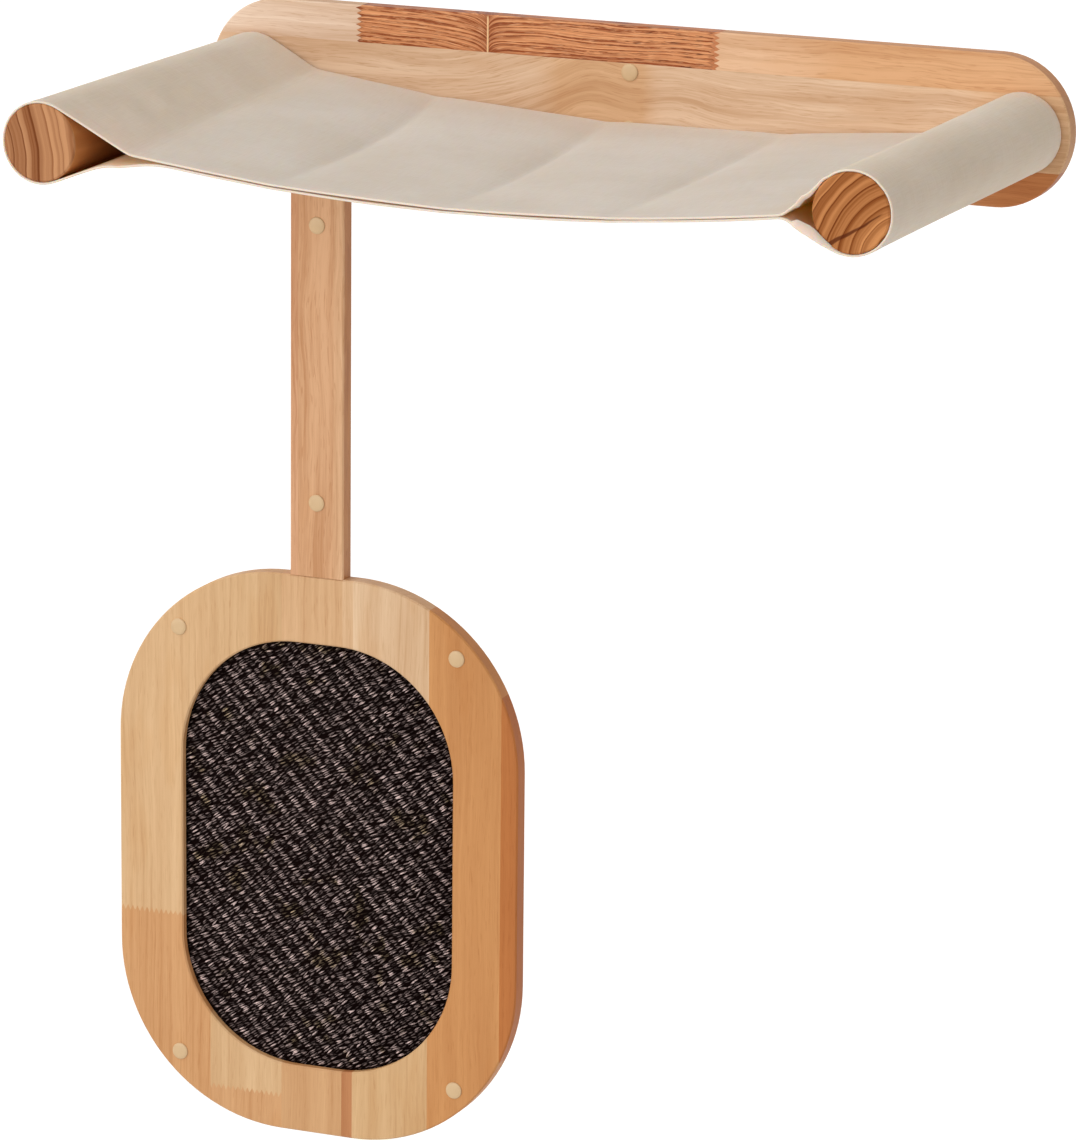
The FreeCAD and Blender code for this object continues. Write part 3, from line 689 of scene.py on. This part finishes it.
def normals_of(points):
    """Outward normals of the closed loop, which runs clockwise seen from the front."""
    along = np.roll(points, -1, axis=0) - np.roll(points, 1, axis=0)
    along /= np.linalg.norm(along, axis=1)[:, None]
    return np.stack([-along[:, 1], along[:, 0]], axis=1)


def ripples(travel, w, points):
    """How far the cloth stands off its plain line, in millimetres."""
    x, z = points[:, 0], points[:, 1]
    soft = 0.22 * np.sin(travel / 31.0 + 5.0 * w) * np.sin(travel / 53.0 - 3.0 * w + 1.0)
    slope = np.exp(-((x + 240) / 15.0) ** 2) * (z > -2) * math.exp(-((w - 0.36) / 0.22) ** 2)
    tugs = 0.9 * slope * np.sin(46.0 * w + 3.0 * math.sin(5.0 * w) + x / 14.0)
    crinkle = np.exp(-((x - 246) / 13.0) ** 2) * math.exp(-w / 0.08)
    bunched = 0.5 * crinkle * (np.sin(x / 1.9) + 0.6 * np.sin(x / 1.1 + 2.0)) * np.where(z > -4, 1.0, 0.3)
    crease = -0.9 * np.exp(-((x - 291.0 - 5.0 * w) / 2.2) ** 2) * math.exp(-((w - 0.45) / 0.4) ** 2)
    crease = crease * (z < 20) * (z > -18)
    return soft + tugs + bunched + crease


def cloth_profile():
    """The section of the cloth from front to back, as pairs: the distance from the front edge, and
    the share of the thickness, which is 1 on the outer side, 0 on the inner one and between them
    round the rims."""
    hem_rows = [0.0, 0.9, 3.0, 6.0, 9.0, 11.5, HEM_WIDTH, HEM_WIDTH + 1.5]
    inner_rows = list(np.linspace(HEM_WIDTH + 6.0, CLOTH_DEPTH - HEM_WIDTH - 6.0, 56))
    outward = hem_rows + inner_rows + [CLOTH_DEPTH - row for row in hem_rows[::-1]]
    rim = [0.25, 0.5, 0.75]
    profile = [(row, 1) for row in outward]
    profile += [(CLOTH_DEPTH, share) for share in rim[::-1]]
    profile += [(row, 0) for row in outward[::-1]]
    profile += [(0.0, share) for share in rim]
    return profile


def cloth_row(row, share, travel):
    """The points of one row of the profile, all the way round the belt. The cloth puffs inwards
    beside the right rod, where it is gathered, and its front hem rolls under the rod."""
    w = row / CLOTH_DEPTH
    line = loop_points(w)
    x, z = line[:, 0], line[:, 1]
    edge = min(row, CLOTH_DEPTH - row)
    outer = CLOTH / 2 + (HEM_EXTRA if edge <= HEM_WIDTH - 1.0 else 0.0)
    under = z < seam(RIGHT_SEAM, w)[1]
    puff = np.exp(-((x - 243) / 8.5) ** 2) * np.where(under, 1.5, 1.4)
    gather = puff * math.exp(-edge / 9.0) * (row < CLOTH_DEPTH / 2)
    turn = np.degrees(np.arctan2(z, x - ROD_X)) % 360
    rolled = np.exp(-((turn - 212) / 30.0) ** 2) * (x > 236) * (row == 0)
    gather += 4.2 * rolled * (1 - share)
    inner = -CLOTH / 2 - gather * (share == 0)
    offset = inner + (outer - inner) * share
    lip = 0.0
    if 0 < share < 1:
        lip = (outer + CLOTH / 2) / 2 * math.sin(math.pi * share) * (1 if row > 0 else -1)
    at = line + normals_of(line) * (offset + ripples(travel, w, line))[:, None]
    return np.stack([at[:, 0], FRONT_Y + row + lip - 2.6 * rolled, at[:, 1]], axis=1)


def lay_out(piece, travel, total, depths):
    """Lays the belt's uv map flat: u runs round the loop and v from front to back."""
    columns = len(travel)
    layer = piece.data.uv_layers.new(name="UVMap")
    for polygon in piece.data.polygons:
        columns_here = [piece.data.loops[k].vertex_index % columns for k in polygon.loop_indices]
        wraps = max(columns_here) == columns - 1 and min(columns_here) == 0
        for k, column in zip(polygon.loop_indices, columns_here):
            u = total if wraps and column == 0 else travel[column]
            v = depths[piece.data.loops[k].vertex_index // columns]
            layer.data[k].uv = (u * MM, v * MM)


def make_canvas(material):
    """One belt of canvas with hemmed edges, sewn through at two seams to make the sleeves."""
    profile = cloth_profile()
    rest = loop_points(0.0)
    columns = len(rest)
    travel = run_lengths(rest)
    total = travel[-1] + np.linalg.norm(rest[0] - rest[-1])
    points = []
    hem_highlights = []
    inner_bounce_tints = []
    for row, share in profile:
        edge = min(row, CLOTH_DEPTH - row)
        hemmed = 1.0 if edge <= HEM_WIDTH - 1.0 else 0.0
        points.append(cloth_row(row, share, travel))
        # Painted highlight: full on the rims of the cloth, faint over the hems.
        hem_highlights.append(np.full(columns, 1.0 if edge < 0.5 else 0.1 * hemmed))
        # Painted warm bounce light on the inner side of the cloth.
        inner_bounce_tints.append(np.full(columns, 1.0 if share == 0 and 1.0 < edge else 0.0))
    faces = grid_faces(len(profile), columns)
    piece = new_piece("sling_canvas", np.concatenate(points), faces, material, "sling", "canvas")
    add_values(piece, "hem", np.concatenate(hem_highlights))
    add_values(piece, "inside", np.concatenate(inner_bounce_tints))
    lay_out(piece, travel, total, [row for row, _ in profile])
    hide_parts("left_sleeve", "right_sleeve", "sling_upper_layer", "sling_lower_layer")
    make_stitching(thread_cloth())
    return piece


STITCH_LENGTH = 2.4
STITCH_GAP = 1.2
STITCH_RADIUS = 0.2


def point_along(line, travel, distance):
    """The point of a line at a distance along it."""
    return np.array([np.interp(distance, travel, line[:, k]) for k in range(3)])


def stitch_mesh(runs):
    """Points and faces of small rounded threads along each run of points, lying on the cloth."""
    points = []
    faces = []
    around = 6
    turns = [2 * math.pi * k / around for k in range(around)]
    rings = ((0.0, 0.35), (0.15, 0.8), (0.5, 1.0), (0.85, 0.8), (1.0, 0.35))
    for run in runs:
        travel = run_lengths(run)
        for start in np.arange(0, travel[-1] - STITCH_LENGTH, STITCH_LENGTH + STITCH_GAP):
            head = point_along(run, travel, start)
            tail = point_along(run, travel, start + STITCH_LENGTH)
            direction = (tail - head) / np.linalg.norm(tail - head)
            helper = np.array([0.0, 0.0, 1.0]) if abs(direction[2]) < 0.9 else np.array([1.0, 0.0, 0.0])
            side = np.cross(direction, helper)
            side /= np.linalg.norm(side)
            lift = np.cross(side, direction)
            faces += tube_faces(len(points), len(rings), around)
            for share, size in rings:
                middle = head + (tail - head) * share
                for turn in turns:
                    outward = side * math.cos(turn) + lift * math.sin(turn)
                    points.append(middle + STITCH_RADIUS * size * outward)
    return points, faces


def surface_line(w_values, columns, lift):
    """Points on the outer side of the belt, at some depths and places round the loop."""
    travel = run_lengths(loop_points(0.0))
    result = []
    for w, column in zip(w_values, columns):
        line = loop_points(w)
        off = ripples(travel, w, line)[column]
        at = line[column] + normals_of(line)[column] * (CLOTH / 2 + lift + off)
        result.append((at[0], FRONT_Y + w * CLOTH_DEPTH, at[1]))
    return np.array(result)


def make_stitching(material):
    """One line of stitches along each hem, and one along each seam of the sleeves."""
    count = len(loop_points(0.0))
    hem_w = (HEM_WIDTH - 3.0) / CLOTH_DEPTH
    order = list(range(count)) + [0]
    runs = [surface_line([w] * len(order), order, HEM_EXTRA - 0.1) for w in (hem_w, 1 - hem_w)]
    deep = list(np.linspace(0.012, 0.988, 50))
    seat = 4 * SEAT_STEPS
    for column in (2, seat - 2):
        runs.append(surface_line(deep, [column] * len(deep), -0.05))
    return new_piece("sling_stitching", *stitch_mesh(runs), material, "sling", "canvas")


# ---------------------------------------------------------------- woven mat

MAT_CENTRE = (-226.5, -545.5)
# Width, height and corner radius of the rebate at the back of the frame, and of its opening.
REBATE = (223.0, 322.0, 96.0)
OPENING = (205.0, 304.0, 87.0)
MAT_GAP = 0.25
MAT_WIDTH = REBATE[0] - 2 * MAT_GAP
MAT_HEIGHT = REBATE[1] - 2 * MAT_GAP
MAT_CORNER = REBATE[2] - MAT_GAP
MAT_BACK_Y = -3.0
MAT_BODY_Y = -6.0
LIP_Y = -6.75
# The two steps of the lattice of floats, and the share of the second from one float to the next.
BLOCK_UP = np.array([8.3, 7.3])
BLOCK_DOWN = np.array([7.6, -8.4])
FLOAT_STEP = 0.142
CLUSTERS = ((0.0, 7, 7.2, 1.0), (0.5, 6, 5.4, 0.42))
FLOAT_ANGLE = math.radians(31)
FLOAT_WIDTH = 1.45
FLOAT_HEIGHT = 0.9


def outline_distance(x, z, width, height, corner):
    """How far outside a rounded rectangle a point lies; negative inside."""
    dx = np.abs(x) - (width / 2 - corner)
    dz = np.abs(z) - (height / 2 - corner)
    outside = np.hypot(np.maximum(dx, 0), np.maximum(dz, 0))
    return outside + np.minimum(np.maximum(dx, dz), 0) - corner


def mat_slab():
    """The body of the mat under its floats, as rings of points round a rounded rectangle."""
    outline = []
    for quadrant, (sx, sz) in enumerate(((1, 1), (-1, 1), (-1, -1), (1, -1))):
        for n in range(17):
            angle = math.radians(90 * quadrant + 90 * n / 16)
            outline.append((sx * (MAT_WIDTH / 2 - MAT_CORNER) + MAT_CORNER * math.cos(angle),
                            sz * (MAT_HEIGHT / 2 - MAT_CORNER) + MAT_CORNER * math.sin(angle)))
    points = []
    for y in (MAT_BACK_Y, MAT_BODY_Y):
        points += [(MAT_CENTRE[0] + x, y, MAT_CENTRE[1] + z) for x, z in outline]
    count = len(outline)
    faces = [(k, (k + 1) % count, count + (k + 1) % count, count + k) for k in range(count)]
    faces.append(tuple(range(count))[::-1])
    faces.append(tuple(range(count, 2 * count)))
    return points, faces


def make_floats(material):
    """Slanted floats of yarn in clusters on a leaning lattice: seven long bright ones, then six
    short dim ones half a step further up it. CLUSTERS has the share of the step, the count, the
    length and the brightness of each kind."""
    points = []
    faces = []
    tones_and_light = []
    random = np.random.default_rng(7)
    stations = ((-1.0, 0.1, 0.0), (-0.35, 0.95, 1.0), (0.35, 0.95, 1.0), (1.0, 0.1, 0.0))
    turns = [math.radians(turn) for turn in (-30, 55, 125, 210)]
    reach = range(-30, 31)
    floats = [(i, j, n, *kind) for i in reach for j in reach for kind in CLUSTERS for n in range(kind[1])]
    for i, j, number, share, count, length, bright in floats:
        centre = (i + share) * BLOCK_UP + (j + FLOAT_STEP * (number - (count - 1) / 2)) * BLOCK_DOWN
        if outline_distance(*centre, *OPENING) > 3.0:
            continue
        centre = centre + random.normal(0, 0.38, 2)
        angle = FLOAT_ANGLE + random.normal(0, math.radians(8))
        half = length / 2 * random.uniform(0.75, 1.1)
        wide = FLOAT_WIDTH / 2 * random.uniform(0.7, 1.1)
        tone = random.uniform(0.15, 1.15) ** 1.4 * bright
        if outline_distance(*centre, *OPENING) > 2.0:
            continue
        run = np.array([math.cos(angle), math.sin(angle)])
        side = np.array([-run[1], run[0]])
        faces += tube_faces(len(points), len(stations), len(turns))
        for station, width, lift in stations:
            for turn in turns:
                at = centre + run * half * station + side * math.cos(turn) * wide * width
                inside = -outline_distance(*at, *OPENING)
                free = min(1.0, max(0.0, inside / 3.0))
                y = MAT_BODY_Y - FLOAT_HEIGHT * lift * bright * free - 0.5 * math.sin(turn)
                y = y if inside > 0.5 else max(y, LIP_Y)
                points.append((MAT_CENTRE[0] + at[0], y, MAT_CENTRE[1] + at[1]))
                # Painted highlight along the top of each float and painted shade on its sides.
                lit_core = 0.10 + 0.90 * max(0.0, math.sin(turn)) ** 0.7
                # Painted shade at the float's ends, where it dips into the mat, and near the frame's
                # opening, under the lip.
                tones_and_light.append(tone * lit_core * (0.3 + 0.7 * lift) * (0.25 + 0.75 * free))
    piece = new_piece("mat_floats", points, faces, material, "wall_frame", "woven_mat")
    add_values(piece, "tone", tones_and_light)
    return piece


def make_mat(material):
    """The mat's body, with the floats of its weave."""
    piece = new_piece("scratching_mat", *mat_slab(), material, "wall_frame", "woven_mat")
    add_values(piece, "tone", np.zeros(len(piece.data.vertices)))
    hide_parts("scratch_mat")
    floats = make_floats(material)
    return piece


# ---------------------------------------------------------------- screw caps

CAP_PROFILE = [
    (0.0, 2.8), (5.2, 2.8), (5.2, 0.0), (5.85, 0.0), (5.9, -0.3), (5.75, -0.7), (5.3, -0.95),
    (4.0, -1.15), (2.0, -1.27), (0.0, -1.3),
]
BOARD_FRONT_Y = -12.0
# Middles of the caps, x and z. Those on the frame stand off its centre by the same two distances.
BACKBOARD_CAPS = [(0.0, 19.0), (0.0, -19.0)]
POST_CAPS = [(MAT_CENTRE[0], -102.0), (MAT_CENTRE[0], -294.0)]
FRAME_CAP_X = 105.0
FRAME_CAP_Z = 153.5
FRAME_CAPS = [(MAT_CENTRE[0] + x, MAT_CENTRE[1] + z)
              for x in (-FRAME_CAP_X, FRAME_CAP_X) for z in (-FRAME_CAP_Z, FRAME_CAP_Z)]


def make_caps(node, places, material):
    """Push-in caps with softly domed faces, turned from one profile."""
    points = []
    faces = []
    around = 40
    turns = [2 * math.pi * k / around for k in range(around)]
    for x, z in places:
        base = len(points)
        for (radius, y), turn in itertools.product(CAP_PROFILE, turns):
            points.append((x + radius * math.cos(turn), BOARD_FRONT_Y + y, z + radius * math.sin(turn)))
        for ring, k in itertools.product(range(len(CAP_PROFILE) - 1), range(around)):
            a = base + ring * around + k
            b = base + ring * around + (k + 1) % around
            faces.append((a, a + around, b + around, b))
    piece = new_piece(node + "_domed", points, faces, material, "wall_frame", "cap_plastic")
    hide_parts(node)
    return piece


# ---------------------------------------------------------------- stage

CAMERA_PLACE = Vector((1.62900, -3.95387, 0.72236))
CAMERA_LOOK = Vector((-0.38303575, 0.89283719, -0.23690794))
CAMERA_YAW = math.radians(23.22)
CAMERA_ROLL = math.radians(0.55)
CAMERA_LENS = 207.43
CAMERA_SENSOR = 36.0
FLOOR_Z = -1.45
FLOOR_REACH = 14.0


def make_camera():
    """The photograph's own view of the object, fitted to its outlines."""
    data = bpy.data.cameras.new("camera")
    data.sensor_width = CAMERA_SENSOR
    data.lens = CAMERA_LENS
    camera = bpy.data.objects.new("camera", data)
    right = Vector((math.cos(CAMERA_YAW), math.sin(CAMERA_YAW), 0.0))
    look = CAMERA_LOOK.normalized()
    up = right.cross(look)
    rolled_right = right * math.cos(CAMERA_ROLL) + up * math.sin(CAMERA_ROLL)
    rolled_up = up * math.cos(CAMERA_ROLL) - right * math.sin(CAMERA_ROLL)
    rows = zip(rolled_right, rolled_up, -look, CAMERA_PLACE)
    camera.matrix_world = Matrix((*rows, (0, 0, 0, 1)))
    bpy.context.scene.collection.objects.link(camera)
    bpy.context.scene.camera = camera


def seen_directly(tree):
    """1 for what the camera, a reflection or clear matter sees."""
    path = tree.nodes.new("ShaderNodeLightPath")
    total = path.outputs["Is Camera Ray"]
    for name in ("Is Glossy Ray", "Is Transmission Ray"):
        node = tree.nodes.new("ShaderNodeMath")
        node.operation = "MAXIMUM"
        tree.links.new(total, node.inputs[0])
        tree.links.new(path.outputs[name], node.inputs[1])
        total = node.outputs[0]
    return total


def make_world():
    """Soft light from all round. The backdrop itself is seen as white."""
    world = bpy.data.worlds.new("studio")
    world.use_nodes = True
    tree = world.node_tree
    ambient = tree.nodes["Background"]
    ambient.inputs["Color"].default_value = (1.0, 0.985, 0.96, 1.0)
    ambient.inputs["Strength"].default_value = 0.52
    backdrop = tree.nodes.new("ShaderNodeBackground")
    backdrop.inputs["Color"].default_value = (1, 1, 1, 1)
    mix = tree.nodes.new("ShaderNodeMixShader")
    tree.links.new(seen_directly(tree), mix.inputs[0])
    tree.links.new(ambient.outputs[0], mix.inputs[1])
    tree.links.new(backdrop.outputs[0], mix.inputs[2])
    tree.links.new(mix.outputs[0], tree.nodes["World Output"].inputs[0])
    bpy.context.scene.world = world


def make_lamp(name, direction, strength, spread, colour):
    """A soft lamp far away, shining from a direction."""
    data = bpy.data.lights.new(name, "SUN")
    data.energy = strength
    data.angle = math.radians(spread)
    data.color = colour
    lamp = bpy.data.objects.new(name, data)
    lamp.rotation_mode = "QUATERNION"
    lamp.rotation_quaternion = Vector(direction).to_track_quat("Z", "Y")
    bpy.context.scene.collection.objects.link(lamp)


def make_floor():
    """A plain pale floor. It keeps the object's shadow."""
    mesh = bpy.data.meshes.new("floor")
    corners = [(x * FLOOR_REACH, y * FLOOR_REACH, FLOOR_Z) for x, y in ((-1, -1), (1, -1), (1, 1), (-1, 1))]
    mesh.from_pydata(corners, [], [(0, 1, 2, 3)])
    graph = Graph("floor")
    grain = graph.noise(graph.place, 6.0, 3.0)
    graph.finish(graph.mix(grain, (0.90, 0.90, 0.90, 1), (0.93, 0.93, 0.93, 1)), 0.9)
    glow = graph.add("ShaderNodeEmission")
    graph.feed(glow.inputs["Strength"], graph.product(seen_directly(graph.tree), 0.32))
    both = graph.add("ShaderNodeAddShader")
    graph.feed(both.inputs[0], graph.shader.outputs[0])
    graph.feed(both.inputs[1], glow.outputs[0])
    output = next(node for node in graph.tree.nodes if node.type == "OUTPUT_MATERIAL")
    graph.feed(output.inputs[0], both.outputs[0])
    mesh.materials.append(graph.material)
    floor = bpy.data.objects.new("floor", mesh)
    bpy.context.scene.collection.objects.link(floor)


# ---------------------------------------------------------------- everything together


def dress(nodes, material):
    """Gives nodes that keep their own shape a material."""
    for name in nodes:
        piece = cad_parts[name]
        piece.data.materials.clear()
        piece.data.materials.append(material)


# Painted shade for the side faces of the backboard and of the post.
BACKBOARD_EDGE_SHADE = (0.76, 0.60, 0.45, 1.0)
POST_EDGE_SHADE = (0.78, 0.57, 0.38, 1.0)
RODS = {
    "left": {"rings": (-390.0, -20.0), "pitch": 9.0,
             "light": srgb(196, 142, 100), "dark": srgb(136, 80, 44),
             "sides": (srgb(212, 146, 90), srgb(180, 112, 62))},
    "right": {"rings": (316.0, -34.0), "pitch": 7.5,
              "light": srgb(204, 138, 84), "dark": srgb(134, 72, 28),
              "sides": (srgb(220, 158, 104), srgb(190, 124, 74)),
              "check": ((259.0, -21.0), (295.0, 2.0))},
}

bpy.context.scene.view_settings.view_transform = "Standard"
make_camera()
make_world()
make_lamp("key", (-0.42, -0.89, 0.18), 1.10, 35, (1.0, 0.98, 0.95))
make_lamp("fill", (0.72, -0.68, 0.10), 0.22, 40, (1.0, 0.96, 0.90))
make_lamp("top", (-0.35, -0.38, 0.86), 0.95, 50, (1.0, 1.0, 1.0))
make_floor()

dress(["backboard"], wood("backboard_wood", 0, BACKBOARD_STRIPS, contrast=1.5, waves=9.0,
                         edge_shade_tint=BACKBOARD_EDGE_SHADE, swept=True, heavy=HEAVY_GRAIN))
dress(["post"], wood("post_wood", 2, POST_STRIPS, contrast=1.7, waves=9.0, edge_shade_tint=POST_EDGE_SHADE))
dress(["scratcher_frame"], wood("frame_wood", 2, FRAME_STRIPS, contrast=0.9, waves=5.0))
for rod_side, rod_look in RODS.items():
    dress([rod_side + "_dowel"], rod_wood(rod_side + "_rod_wood", **rod_look))
dress(["mat_backing_board"], plywood())
steel = metal("zinc_plated_steel", srgb(196, 197, 200), 0.28)
dress(["dowel_bolts", "backboard_wall_screws", "post_wall_screws", "frame_wall_screws"], steel)
dress(["dowel_insert_nuts"], metal("zinc_alloy", srgb(186, 184, 172), 0.42))

make_canvas(canvas_cloth())
make_mat(mat_yarn())
plastic = cap_plastic()
make_caps("backboard_screw_caps", BACKBOARD_CAPS, plastic)
make_caps("post_screw_caps", POST_CAPS, plastic)
make_caps("frame_screw_caps", FRAME_CAPS, plastic)
